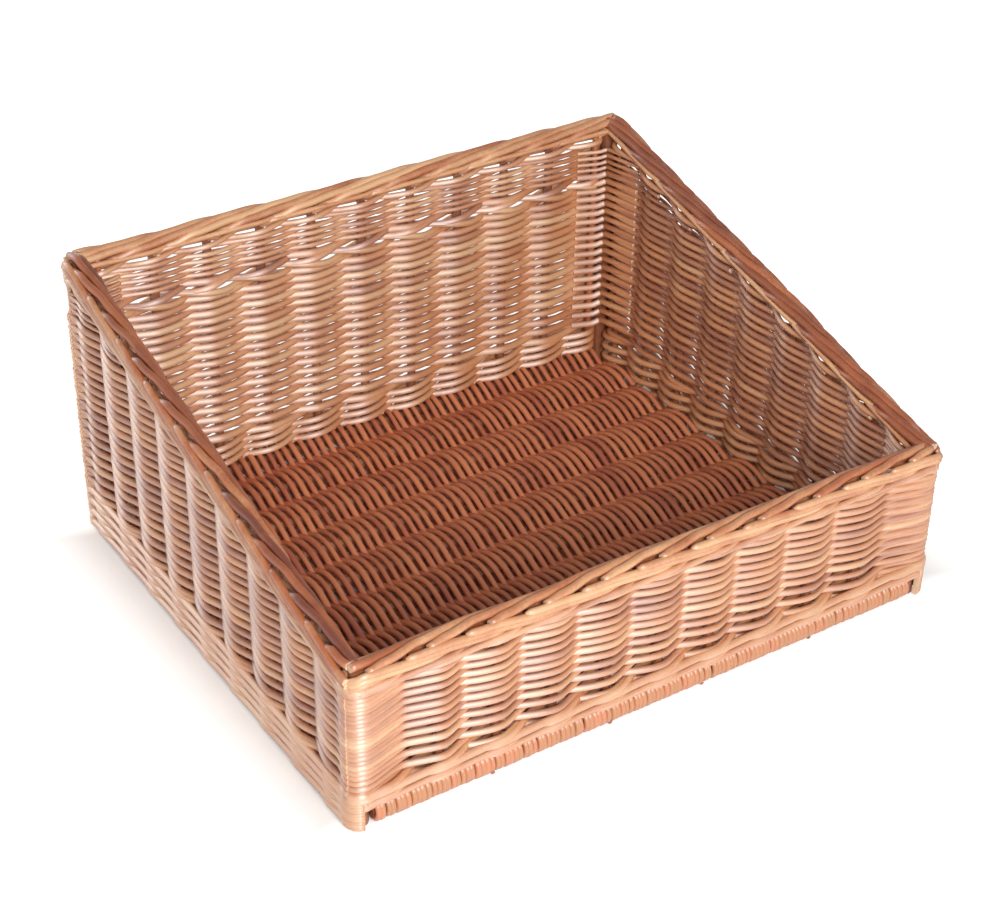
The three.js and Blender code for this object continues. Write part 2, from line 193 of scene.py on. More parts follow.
def rodPiece(name, rods, material, sides=6):
    # each rod is (points in mm, radii in mm, shades 0 to 1); all become one closed mesh
    curve = bpy.data.curves.new(name, "CURVE")
    curve.dimensions = "3D"
    curve.bevel_depth = mm
    curve.bevel_resolution = (sides - 4) // 2
    shades = []
    for points, radii, rodShades in rods:
        spline = curve.splines.new("POLY")
        spline.points.add(len(points) - 1)
        spline.use_smooth = True
        flat = []
        for x, y, z in points:
            flat += [x * mm, y * mm, z * mm, 1.0]
        spline.points.foreach_set("co", flat)
        spline.points.foreach_set("radius", radii)
        for shade in rodShades:
            shades += [shade] * sides
    holder = bpy.data.objects.new(name, curve)
    bpy.context.scene.collection.objects.link(holder)
    graph = bpy.context.evaluated_depsgraph_get()
    mesh = bpy.data.meshes.new_from_object(holder.evaluated_get(graph))
    bpy.data.objects.remove(holder)
    bpy.data.curves.remove(curve)
    mesh.name = name
    assert len(mesh.vertices) == len(shades), (name, len(mesh.vertices), len(shades))
    mesh.attributes.new("shade", "FLOAT", "POINT").data.foreach_set("value", shades)
    bm = bmesh.new()
    bm.from_mesh(mesh)
    ends = bmesh.ops.holes_fill(bm, edges=[e for e in bm.edges if e.is_boundary], sides=sides)
    for face in ends["faces"]:
        face.material_index = 1
        face.smooth = False
    bm.to_mesh(mesh)
    bm.free()
    mesh.materials.append(material)
    mesh.materials.append(cutWillow)
    piece = bpy.data.objects.new(name, mesh)
    bpy.context.scene.collection.objects.link(piece)
    print(name, "rods", len(rods), "triangles", sum(len(p.vertices) - 2 for p in mesh.polygons))
    return piece


def attach(piece, slotName, *nodes):
    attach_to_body(piece, "root")
    if nodes:
        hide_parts(*nodes)


# Walls: rods worked from left to right as seen from outside, over three-rod wales at the foot
walls = {
    "reach": 6.8,             # how far a weaver's middle swings each side of the stakes
    "roundness": 0.88,        # 0 is an even wave, and 1 is straight lines from stake to stake
    "lean": 0.09,             # a rod leaves a stake steeply and comes to the next one flat
    "flatness": {"front": 0.0, "back": 2.2, "left": 0.0, "right": 0.8},
    "rodRadius": 2.72,        # at the foot; the rods get thinner up the wall
    "rodTaper": 0.006,
    "rodSpread": 0.1,
    "rodLimits": (1.6, 2.9),
    "fullness": {"front": 0.88, "back": 1.13, "left": 0.93, "right": 0.93},
    "shade": (0.5, 0.16),     # the middle shade and its spread
    # painted light and shade: each wall's rods lighter or darker by how the lamps fall on it, lighter on
    # the back wall's lit inside and darker on the side walls
    "paintedLightTone": {"front": 0.0, "back": 0.16, "left": -0.12, "right": -0.22},
    "frontStart": 30.8,       # height of the lowest woven row at the front and at the back
    "backStart": 41.0,
    "frontPitch": 4.9,        # the rows are beaten down harder at the front and up the wall
    "frontPitchFall": 0.165,
    "frontPitchLeast": 3.35,
    "backPitch": 4.75,
    "backPitchFall": 0.045,
    "backPitchLeast": 3.5,
    "pitchSpread": 0.12,
    "rowsEnd": 24.0,          # no row starts nearer to the back rim's top
    "fineStart": 189.0,       # above the belt the back wall's rods are thinner
    "fineRadius": 1.7,
    "finePitch": 2.7,
    "step": 3.0,              # between the points of a rod
    "postRoom": 20.0,         # a stake nearer to a corner post is passed over
    "shortest": 25.0,         # the least that a side wall's row is long
    "longTurn": 86.0,         # degrees: the long walls' rods go round the posts
    "sideTurn": 22.0,         # and the side walls' rods come up to meet them
    "ease": (4.0, 30.0),      # a rod's straying dies out this far past a post, over this length
    "wobble": 0.7,            # how far it strays up and down, and the length of a stray
    "wobbleLength": 60,
    "quiver": 0.6,            # the share of shorter strays
    "quiverLength": 35,
    "radiusDrift": 0.10,      # how much its thickness and its shade change, and over what length
    "radiusLength": 120,
    "shadeDrift": 0.35,
    "shadeLength": 110,
}

# Wales and belt: thicker rods, worked in threes and in pairs
wales = {
    "radius": 2.6,
    "rise": 5.2,
    "topRadius": 2.3,
    "topRise": 4.6,
    "topRoom": 9.0,           # height kept for the wale under the border
    "borderRoom": 16.0,       # and for the border
    "seat": 2.0,              # how much closer to the stakes than its own radius a wale lies
    "turn": 80.0,
    "ease": 14.0,             # a rod starts to come outside this far from a post
    "dip": 0.5,               # how far it dips between the two stakes that it goes outside
    "stray": 0.4,
    "strayLength": 50,
    "shade": (0.62, 0.12),
    # the rounds at the foot of each wall: height at its front and its back, and radius and rise
    # where they differ from the above
    "front": [(16.0, 16.0, 2.4, 4.6), (23.4, 23.4, 2.9, 4.6)],
    "back": [(16.8, 16.8), (24.2, 24.2), (31.6, 31.6)],
    "left": [(0.5, 0.5), (7.8, 10.8), (15.1, 21.2), (22.4, 31.6)],
    "right": [(0.5, 0.5), (7.8, 10.8), (15.1, 21.2), (22.4, 31.6)],
    "beltHeight": 182.0,      # the back wall's two rounds of pairs
    "beltRadius": 2.7,
    "beltPitch": 5.4,
    "beltRoom": 6.4,          # rows nearer to the belt's middle are left out
    "beltSeat": 2.2,
    "beltEase": 16.0,
    "beltStray": 1.2,
    "beltStrayLength": 60,
    "beltStrayEase": 20,
    "beltShade": (0.65, 0.15),
}


def wallFrame(along, out, isLong):
    # a wall's directions and stakes, and how far its stakes and its corner posts stand out
    middle = basket["longWallMiddle" if isLong else "sideWallMiddle"]
    return {
        "along": along,
        "out": out,
        "isLong": isLong,
        "middle": middle,
        "stakes": basket["longStakes" if isLong else "sideStakes"],
        "post": basket["postX" if isLong else "postY"],
        "inset": middle - basket["postY" if isLong else "postX"],
    }


wallFrames = {
    "front": wallFrame((1, 0), (0, -1), True),
    "back": wallFrame((-1, 0), (0, 1), True),
    "left": wallFrame((0, -1), (-1, 0), False),
    "right": wallFrame((0, 1), (1, 0), False),
}

# the rows, from the foot up: height at the front and at the back, radius and shade
rows = []
frontRow, backRow = walls["frontStart"], walls["backStart"]
while backRow < basket["backHeight"] - walls["rowsEnd"]:
    k = len(rows)
    isFine = backRow > walls["fineStart"]
    thickness = walls["fineRadius"] if isFine else walls["rodRadius"] - walls["rodTaper"] * k
    thickness = clamp(thickness + random.gauss(0, walls["rodSpread"]), *walls["rodLimits"])
    rows.append((frontRow, backRow, thickness, clamp(random.gauss(*walls["shade"]))))
    jitter = random.uniform(-walls["pitchSpread"], walls["pitchSpread"])
    frontRow += max(walls["frontPitchLeast"], walls["frontPitch"] - walls["frontPitchFall"] * k) + jitter
    backStep = max(walls["backPitchLeast"], walls["backPitch"] - walls["backPitchFall"] * k)
    backRow += (walls["finePitch"] if isFine else backStep) + jitter


def alongDepth(y, frontValue, backValue):
    t = clamp((y + basket["longWallMiddle"]) / (2 * basket["longWallMiddle"]))
    return frontValue + (backValue - frontValue) * t


def bend(t):
    # from 1 at t 0 to -1 at t 1: straightest between the stakes, rounded where a rod bears on one
    return math.asin(walls["roundness"] * math.cos(math.pi * t)) / math.asin(walls["roundness"])


def swing(wall, s, row, reach, postReach):
    # how far outside the line of stakes the rod's middle is at s
    post = wall["post"]
    passed = post - walls["postRoom"]
    knots = [-post] + [v for v in wall["stakes"] if not wall["isLong"] or abs(v) < passed] + [post]
    last = len(knots) - 1
    for k in range(last):
        if knots[k] <= s <= knots[k + 1] or k == last - 1:
            gap = knots[k + 1] - knots[k]
            t = min(1.0, (s - knots[k]) / gap)
            # every row goes outside the corner posts, and outside every other stake
            a = postReach if k == 0 else reach if (k + row) % 2 == 0 else -reach
            b = postReach if k == last - 1 else reach if (k + 1 + row) % 2 == 0 else -reach
            if a * b > 0:
                # outside both: the rod only dips between them
                dip = min(1.0, gap / stakeGap) ** 2
                inward = 0.5 - 0.5 * bend(t * 2 if t < 0.5 else 2 - 2 * t)
                return a + (b - a) * t - dip * reach * inward
            t += walls["lean"] * math.sin(math.pi * t)
            return (a + b) / 2 + (a - b) / 2 * bend(t)
    return 0.0


def placed(wall, s, n):
    # a point given along a wall and outward from its stakes
    along, out, outward = wall["along"], wall["out"], wall["middle"] + n
    return along[0] * s + out[0] * outward, along[1] * s + out[1] * outward


def cornerTurn(wall, reach, side, degrees, parts=4):
    # (along, outward) of a rod that rounds a corner post, from the wall towards the neighbour
    turn = []
    radius = reach + wall["inset"]
    for k in range(1, parts + 1):
        angle = math.radians(degrees * k / parts)
        s = side * (wall["post"] + radius * math.sin(angle))
        turn.append((s, radius * math.cos(angle) - wall["inset"]))
    return turn


def rowSpan(wallName, frontRow, backRow):
    # how far along its wall a row reaches under the rim, and which end stops at a sloping rim
    wall = wallFrames[wallName]
    post = wall["post"]
    drop = wales["borderRoom"] + wales["topRoom"]
    if wall["isLong"]:
        height = frontRow if wallName == "front" else backRow
        fits = height <= basket[wallName + "Height"] - drop
        return (-post, post, 0) if fits else None
    if frontRow <= basket["frontHeight"] - drop:
        return -post, post, 0
    rise = basket["backHeight"] - basket["frontHeight"] - (backRow - frontRow)
    t = (frontRow + drop - basket["frontHeight"]) / rise
    y = (2 * t - 1) * basket["longWallMiddle"]
    if post - y < walls["shortest"]:
        return None
    return (y, post, -1) if wall["along"][1] > 0 else (-post, -y, 1)


def wallRods(wallName):
    wall = wallFrames[wallName]
    turn = walls["longTurn" if wall["isLong"] else "sideTurn"]
    easePast, easeLength = walls["ease"]
    rods = []
    for row, (frontRow, backRow, radius, shade) in enumerate(rows):
        span = rowSpan(wallName, frontRow, backRow)
        isBelt = wallName == "back" and abs(backRow - wales["beltHeight"]) < wales["beltRoom"]
        if span is None or isBelt:
            continue
        low, high, openEnd = span
        radius *= walls["fullness"][wallName]
        # painted light and shade for this wall
        shade += walls["paintedLightTone"][wallName]
        postReach = walls["reach"] - (walls["rodRadius"] - radius)
        reach = postReach - walls["flatness"][wallName]
        count = max(4, int((high - low) / walls["step"]))
        flat = []
        if openEnd != -1:
            flat += reversed(cornerTurn(wall, postReach, -1, turn))
        for k in range(count + 1):
            s = low + (high - low) * k / count
            flat.append((s, swing(wall, s, row, reach, postReach)))
        if openEnd != 1:
            flat += cornerTurn(wall, postReach, 1, turn)
        points = []
        radii = []
        shades = []
        for s, n in flat:
            # it strays up and down, and in thickness and shade, each by a noise of its own
            fade = clamp((wall["post"] + easePast - abs(s)) / easeLength)
            x, y = placed(wall, s, n)
            z = alongDepth(y, frontRow, backRow)
            stray = wander(x, y, z, walls["wobbleLength"])
            stray += walls["quiver"] * wander(x + 900, y, z * 4, walls["quiverLength"])
            points.append((x, y, z + walls["wobble"] * fade * stray))
            drift = walls["radiusDrift"] * fade * wander(x, y + 500, row * 40, walls["radiusLength"])
            radii.append(radius * (1 + drift))
            tint = walls["shadeDrift"] * wander(x + 300, y, row * 70, walls["shadeLength"])
            shades.append(clamp(shade + tint))
        rods.append((points, radii, shades))
    return rods


def waleRods(wallName, radius, rise, foot=None):
    # three rods worked together: each goes outside two stakes and inside the third, rising as it goes;
    # foot is the heights at the front and the back of a round at the foot, or else it follows the rim
    wall = wallFrames[wallName]
    post, stakes = wall["post"], wall["stakes"]
    reach = walls["reach"] + radius - wales["seat"]
    gap = stakes[1] - stakes[0]
    steps = int(2 * post / walls["step"])
    rods = []
    for j in range(3):
        flat = []
        for k in range(steps + 1):
            s = -post + 2 * post * k / steps
            phase = ((s - stakes[0]) / gap + 0.5 + j) % 3
            if phase <= 0.5:
                n = reach * math.sin(math.pi * phase)
            elif phase <= 1.5:
                n = reach - wales["dip"] * math.sin(math.pi * (phase - 0.5))
            elif phase <= 2.5:
                n = reach * math.cos(math.pi * (phase - 1.5))
            else:
                n = reach * -math.cos(math.pi * (phase - 2.5))
            climb = phase / 2 if phase <= 2 else (3 - phase)
            if abs(s) > post - wales["ease"]:
                f = (abs(s) - post + wales["ease"]) / wales["ease"]
                n = n + (reach - n) * f * f * (3 - 2 * f)
            flat.append((s, n, climb))
        before = [(s, n, flat[0][2]) for s, n in reversed(cornerTurn(wall, reach, -1, wales["turn"]))]
        after = [(s, n, flat[-1][2]) for s, n in cornerTurn(wall, reach, 1, wales["turn"])]
        shade = clamp(random.gauss(*wales["shade"]))
        points = []
        for s, n, climb in before + flat + after:
            x, y = placed(wall, s, n)
            bottom = alongDepth(y, *foot) if foot else rimTop(y) - wales["borderRoom"] - wales["topRoom"]
            stray = wales["stray"] * wander(x, y, 40 * j + bottom, wales["strayLength"])
            points.append((x, y, bottom + radius + climb * rise + stray))
        rods.append((points, [radius] * len(points), [shade] * len(points)))
    return rods


def pairRods(wallName, height, turn):
    # two rods twisted round each other between the stakes, one inside and one outside each stake
    wall = wallFrames[wallName]
    post, stakes = wall["post"], wall["stakes"]
    radius = wales["beltRadius"]
    reach = walls["reach"] + radius - wales["beltSeat"]
    easePast = walls["ease"][0]
    steps = int(2 * post / walls["step"])
    rods = []
    for j in range(2):
        shade = clamp(random.gauss(*wales["beltShade"]))
        flat = []
        for k in range(steps + 1):
            s = -post + 2 * post * k / steps
            t = (s - stakes[0]) / (stakes[1] - stakes[0]) + j
            fade = clamp((post - abs(s)) / wales["beltEase"])
            n = reach * (fade * math.cos(math.pi * t) + (1 - fade))
            flat.append((s, n, fade * math.sin(math.pi * t)))
        if j == 0:
            # one rod of the two goes on round the corner posts, and covers them there
            before = [(s, n, 0.0) for s, n in reversed(cornerTurn(wall, reach, -1, walls["longTurn"]))]
            after = [(s, n, 0.0) for s, n in cornerTurn(wall, reach, 1, walls["longTurn"])]
            flat = before + flat + after
        points = []
        for s, n, climb in flat:
            x, y = placed(wall, s, n)
            fade = clamp((post + easePast - abs(s)) / wales["beltStrayEase"])
            stray = wales["beltStray"] * fade * wander(x, y, height * 3, wales["beltStrayLength"])
            points.append((x, y, height + (turn * climb * radius + stray)))
        rods.append((points, [radius] * len(points), [shade] * len(points)))
    return rods


def through(knots, parts=5):
    # a smooth curve through a few points
    points = []
    last = len(knots) - 1
    for k in range(last):
        p = [knots[max(0, k - 1)], knots[k], knots[k + 1], knots[min(last, k + 2)]]
        for i in range(parts):
            t = i / parts
            point = []
            for a in range(3):
                first = (p[2][a] - p[0][a]) * t
                second = (2 * p[0][a] - 5 * p[1][a] + 4 * p[2][a] - p[3][a]) * t * t
                third = (3 * p[1][a] - p[0][a] - 3 * p[2][a] + p[3][a]) * t ** 3
                point.append(0.5 * (2 * p[1][a] + first + second + third))
            points.append(tuple(point))
    points.append(tuple(knots[-1]))
    return points


# Corner fillers: rods that turn inside each corner post, between the rows, so that the post is
# covered there too
fillers = {
    "topRoom": 20.0,
    "fullness": 0.95,
}


def cornerFillers():
    rods = []
    px, py = basket["postX"], basket["postY"]
    midX, midY = basket["sideWallMiddle"], basket["longWallMiddle"]
    reach = walls["reach"]
    for sideX in (-1, 1):
        for sideY in (-1, 1):
            end = 0 if sideY < 0 else 1
            top = (basket["backHeight"] if end else basket["frontHeight"]) - fillers["topRoom"]
            for row in range(1, len(rows) - 1, 2):
                height = rows[row][end]
                above = rows[row + 1][end]
                radius, shade = rows[row][2:]
                if height > top:
                    continue
                # along the long wall, round the post, and up to the next row of the side wall
                knots = [(px - 31, midY - 1.5, height),
                         (px - 22, midY - 4.4, height),
                         (px - 13, midY - reach - 0.6, height),
                         (px - 7.2, py - 6.2, height + 0.4 * (above - height)),
                         (px - 5.2, py - 8.0, height + 0.6 * (above - height)),
                         (midX - reach - 0.4, 181.7, above),
                         (midX - 4.2, 172.0, above),
                         (midX - 1.0, 160.0, above)]
                points = [(sideX * x, sideY * y, z) for x, y, z in through(knots)]
                rods.append((points, [radius * fillers["fullness"]] * len(points), [shade] * len(points)))
    return rods


wallSlot = "wall_weave"
for wallName in wallFrames:
    piece = rodPiece(wallName + "WallWeave", wallRods(wallName), rodWillow)
    attach(piece, wallSlot, wallName + "_wall_weave")
footWales = []
topWales = []
for wallName in wallFrames:
    for frontFoot, backFoot, *other in wales[wallName]:
        radius, rise = other or (wales["radius"], wales["rise"])
        footWales += waleRods(wallName, radius, rise, (frontFoot, backFoot))
    topWales += waleRods(wallName, wales["topRadius"], wales["topRise"])
for k, turn in enumerate((-1, 1)):
    topWales += pairRods("back", wales["beltHeight"] + wales["beltPitch"] * (k - 0.5), turn)
attach(rodPiece("footWales", footWales, rodWillow), wallSlot)
attach(rodPiece("topWales", topWales, rodWillow), wallSlot)
attach(rodPiece("cornerFillers", cornerFillers(), rodWillow), wallSlot)
print("walls woven")


# Base: thin rods worked over and under the sticks and turned round the two edge sticks
base = {
    "rodRadius": 2.55,
    "rodSpread": (0.84, 1.08),
    "pitch": 3.85,
    "middle": 8.8,            # height of the sticks' middles
    "stickRadius": 4.8,
    "press": 0.1,             # how far the rods press into the sticks
    "halfWidth": 231.0,
    "step": 4.5,
    "rollRadius": 7.8,
    "rollLift": 1.9,          # the edge rolls stand a little higher than the base between them
    "rollStart": (175, 25),   # where the rods begin to rise to a roll, and over what length
    "rollTone": 0.55,         # and where they are lighter
    "rollToneStart": (203, 6),
    "shade": (0.36, 0.15),
    "shadeMost": 0.5,
    "slip": 0.9,              # how far a rod is off its place at a roll
    "drift": 1.5,             # and between the rolls
    "driftLength": 55,
    "driftEnd": (212, 40),
}


def baseRods():
    sticks = basket["baseSticks"]
    first, last = sticks[0], sticks[-1]
    reach = base["stickRadius"] + base["rodRadius"] - base["press"]
    turn = base["rollRadius"]
    steps = int((last - first) / base["step"])
    count = int(2 * base["halfWidth"] / base["pitch"])
    arc = [math.radians(90 - 180 * k / 8) for k in range(9)]
    rods = []
    for j in range(count + 1):
        x = -base["halfWidth"] + 2 * base["halfWidth"] * j / count
        sign = 1 if j % 2 == 0 else -1
        endSign = sign * (-1 if (len(sticks) - 1) % 2 else 1)
        # round the front edge stick from below or above, across, and round the back one
        flat = []
        for angle in arc:
            flat.append((first - turn * math.cos(-sign * angle), turn * math.sin(-sign * angle)))
        for k in range(1, steps):
            y = first + (last - first) * k / steps
            t = (y - first) / (sticks[1] - sticks[0])
            flat.append((y, sign * reach * math.cos(math.pi * t)))
        for angle in arc:
            flat.append((last + turn * math.cos(endSign * angle), turn * math.sin(endSign * angle)))
        shade = clamp(random.gauss(*base["shade"]), 0.0, base["shadeMost"])
        radius = base["rodRadius"] * random.uniform(*base["rodSpread"])
        slips = [random.uniform(-base["slip"], base["slip"]) for end in ("front", "back")]
        points = []
        shades = []
        for y, z in flat:
            atRoll = clamp((abs(y) - base["rollStart"][0]) / base["rollStart"][1])
            slip = slips[0 if y < 0 else 1] * atRoll
            drift = base["drift"] * wander(x * 3, y, 7.0, base["driftLength"])
            drift *= min(1.0, (base["driftEnd"][0] - abs(y)) / base["driftEnd"][1])
            # a rod under a stick is pressed flat on what the basket stands on
            height = max(radius, base["middle"] + (z + base["rollLift"] * atRoll))
            points.append((x + (drift + slip), y, height))
            lighter = clamp((abs(y) - base["rollToneStart"][0]) / base["rollToneStart"][1])
            shades.append(shade + base["rollTone"] * lighter)
        rods.append((points, [radius] * len(points), shades))
    return rods


attach(rodPiece("baseWeave", baseRods(), baseWillow), "base_weave", "base_weave")
print("base woven")


# Border: each stake bent down to the right, in strands that lie side by side and end at the corner
border = {
    "halfX": 242.4,           # the rim's middle line
    "halfY": 204.9,
    "postInset": 3.3,         # from there in to the corner posts' middles
    "centreDrop": 8.4,
    "gap": 45.5,              # from one stake's strands to the next's
    "step": 4.0,
    "shortest": 12.0,
    "wave": 1.8,              # how far the rim strays up and down, and a strand in and out
    "waveLength": 80,
    "sway": 0.6,
    "swayLength": 50,
    "sinkAtPost": 4.5,        # how far the outermost strands sink as they round a corner post
    "pastCorner": 9.0,        # how far past the corner they go
    "endSpread": (1.5, 4.5),  # and the others
    "startInset": 3.0,
    # what a strand passes through: gaps along from its stake, outward, and up. The main one goes in,
    # then up on to the rim's inner lane, its middle one and its outer one, each for one gap.
    "main": [(0.0, -1.5, -9.0), (0.3, -5.6, -4.0), (0.75, -6.6, 0.8), (1.5, -4.6, 3.0), (2.3, -0.4, 4.6),
             (2.9, 3.6, 3.4)],
    "mainEnd": (3.2, 5.2),
    "mainEndHeight": {"front": 1.6, "back": 1.6, "left": -1.2, "right": -1.2},
    "mainEndSpread": 0.08,
    "outer": [(-0.15, 2.0, -9.0), (0.25, 6.2, -6.4), (1.2, 7.0, -3.0), (2.2, 7.0, 0.6), (2.6, 6.2, 0.4)],
    "inner": [(0.0, -4.5, -6.5), (0.3, -7.2, -4.6), (1.9, -7.4, -4.2), (2.3, -4.5, -4.0)],
    "mainRadius": 3.0,
    "outerRadius": 2.6,
    "innerRadius": 2.1,
    "radiusSpread": (0.94, 1.04),
    "tips": {"main": 0.9, "outer": 0.5, "inner": 0.7},    # thickness of the cut ends
    # how light the main and the outer strands of each side are: painted light and shade, lighter on the
    # front and back rims and darker on the side rims
    "paintedLightTones": {"front": (0.6, 0.85), "back": (0.8, 0.9), "left": (0.36, 0.55), "right": (0.3, 0.4)},
    "toneSpread": (0.13, 0.1),
    "innerTones": (0.7, 1.0),
}


def rimSides():
    # clockwise from above: direction, outward, half length, distance from the centre
    hx, hy = border["halfX"], border["halfY"]
    return {
        "front": ((-1, 0), (0, -1), hx, hy),
        "left": ((0, 1), (-1, 0), hy, hx),
        "back": ((1, 0), (0, 1), hx, hy),
        "right": ((0, -1), (1, 0), hy, hx),
    }


def strand(sideName, station, shape, radius, shade, tipFade, isOuter=False):
    along, out, half, middle = rimSides()[sideName]
    inset = border["postInset"]
    ts = [p[0] for p in shape]
    # the rods of the next side start beside the ends of these, and the outermost pass them
    start = -half + (-border["startInset"] if isOuter else border["startInset"])
    end = half + (border["pastCorner"] if isOuter else random.uniform(*border["endSpread"]))
    first = max(start, station + ts[0] * border["gap"])
    last = min(end, station + ts[-1] * border["gap"])
    if last - first < border["shortest"]:
        return []
    steps = max(4, int((last - first) / border["step"]))
    points = []
    for k in range(steps + 1):
        u = first + (last - first) * k / steps
        t = (u - station) / border["gap"]
        i = max(0, min(len(ts) - 2, sum(1 for v in ts if v <= t) - 1))
        f = (t - ts[i]) / (ts[i + 1] - ts[i])
        f = f * f * (3 - 2 * f)
        a = shape[i][1] + (shape[i + 1][1] - shape[i][1]) * f
        b = shape[i][2] + (shape[i + 1][2] - shape[i][2]) * f
        if isOuter and u > half - inset:
            # the outermost strands go round the corner post and end behind it
            swept = (u - half + inset) / (a + inset)
            u = half - inset + (a + inset) * math.sin(swept)
            a = (a + inset) * math.cos(swept) - inset
            b -= border["sinkAtPost"] * min(1.0, swept)
        x = along[0] * u + out[0] * (middle + a)
        y = along[1] * u + out[1] * (middle + a)
        sway = border["sway"] * wander(x, y, 9.0 + radius, border["swayLength"])
        wave = border["wave"] * wander(x, y, 3.0, border["waveLength"])
        z = rimTop(y) - border["centreDrop"] + b + wave
        points.append((x + out[0] * sway, y + out[1] * sway, z))
    radii = [radius] * len(points)
    radii[-1] = radius * tipFade
    return [(points, radii, [shade] * len(points))]


def borderRods():
    tips = border["tips"]
    rods = []
    for sideName in rimSides():
        stakes = wallFrames[sideName]["stakes"]
        # this side's painted light and shade
        paintedLightTone, outerPaintedLightTone = border["paintedLightTones"][sideName]
        spread, outerSpread = border["toneSpread"]
        endAlong, endOut = border["mainEnd"]
        # rods laid in at the corner make up for the stakes that stood before it
        stations = [stakes[0] - k * border["gap"] for k in (3, 2, 1)] + stakes
        for index, station in enumerate(stations):
            jog = random.uniform(-border["mainEndSpread"], border["mainEndSpread"])
            shade = clamp(random.gauss(paintedLightTone, spread))
            main = border["main"] + [(endAlong + jog, endOut, border["mainEndHeight"][sideName])]
            radius = border["mainRadius"] * random.uniform(*border["radiusSpread"])
            rods += strand(sideName, station, main, radius, shade, tips["main"])
            shade = clamp(random.gauss(outerPaintedLightTone, outerSpread))
            radius = border["outerRadius"] * random.uniform(*border["radiusSpread"])
            rods += strand(sideName, station, border["outer"], radius, shade, tips["outer"], isOuter=True)
            if index % 2 == 0:
                shade = random.uniform(*border["innerTones"])
                radius = border["innerRadius"]
                rods += strand(sideName, station, border["inner"], radius, shade, tips["inner"])
    return rods


attach(rodPiece("rodBorder", borderRods(), borderWillow, sides=8), "border", "border")
print("border laid down")


# Stakes: the one beside each corner post leans against its inner side, and some of the stakes'
# slanting points show under the front roll
uprights = {
    "cornerX": 225.0,
    "cornerInset": 3.4,
    "topRoom": 8,
    "foot": 1.0,
    "chamfer": 3,             # height of the cut at its top
    "radii": [3.1, 3.1, 2.6, 2.0],
    "shade": 0.4,
    "tipSpread": 9,
    # a slanting point, from its root: along, depth, height and radius
    "tip": [(0.0, -205.0, 5.0, 2.0), (0.6, -208.5, 3.6, 1.9), (1.0, -211.8, 2.2, 1.3)],
}
cornerStakes = []
for sideX in (-1, 1):
    for sideY in (-1, 1):
        top = (basket["frontHeight"] if sideY < 0 else basket["backHeight"]) - uprights["topRoom"]
        x, y = sideX * uprights["cornerX"], sideY * (basket["longWallMiddle"] - uprights["cornerInset"])
        points = [(x, y, z) for z in (uprights["foot"], top * 0.5, top - uprights["chamfer"], top)]
        cornerStakes.append((points, uprights["radii"], [uprights["shade"]] * len(points)))
piece = rodPiece("cornerStakes", cornerStakes, borderWillow, sides=8)
attach(piece, "stakes", "front_stake_1", "front_stake_11", "back_stake_1", "back_stake_11")
tips = []
for s in basket["longStakes"][2:-1:2]:
    x = s + random.uniform(-uprights["tipSpread"], uprights["tipSpread"])
    points = [(x + aside, y, z) for aside, y, z, radius in uprights["tip"]]
    tips.append((points, [radius for aside, y, z, radius in uprights["tip"]], [0.0] * len(points)))
attach(rodPiece("stakeTips", tips, borderWillow), "stakes")

# the CAD stakes, sticks and posts take the stake willow darkened as painted shade
for nodeName, node in frame["nodes"].items():
    if "stake" in nodeName or "post" in nodeName or "stick" in nodeName:
        node.data.materials.clear()
        node.data.materials.append(stakeWillowPaintedShade)
print("stakes set")


# Floor, lamps and camera, in metres
studio = {
    "floorSize": 6.0,
    "floorColour": "E6E4E2",
    # the floor is lifted to white outside the basket's own ground (from, to; in x and in y),
    # and less close beside its feet, so that its shadow stays there
    "ground": ((0.236, 0.250), (0.198, 0.212)),
    "away": ((0.255, 0.33), (0.19, 0.22)),
    "nearLift": 0.12,
    "farLift": 0.8,
    "worldLight": 0.25,
    "backdropTop": (0.35, 0.65),
    "lampTarget": (0, 0, 0.1),
    # azimuth 0 is straight in front of the basket, and positive is to its right
    "lamps": {
        "keySoftbox": {"azimuth": -16.0, "elevation": 31.0, "distance": 2.2, "size": 0.9, "power": 45.0},
        "sideSoftbox": {"azimuth": -156.0, "elevation": 20.0, "distance": 2.2, "size": 0.9, "power": 16.5},
    },
    # the photograph's viewpoint, worked out from the basket's corners
    "cameraPlace": (-0.7169, -1.0758, 0.9340),
    "cameraYaw": 33.696,
    "cameraPitch": 33.046,
    "cameraRoll": 1.067,
    "lens": 73.6,
}


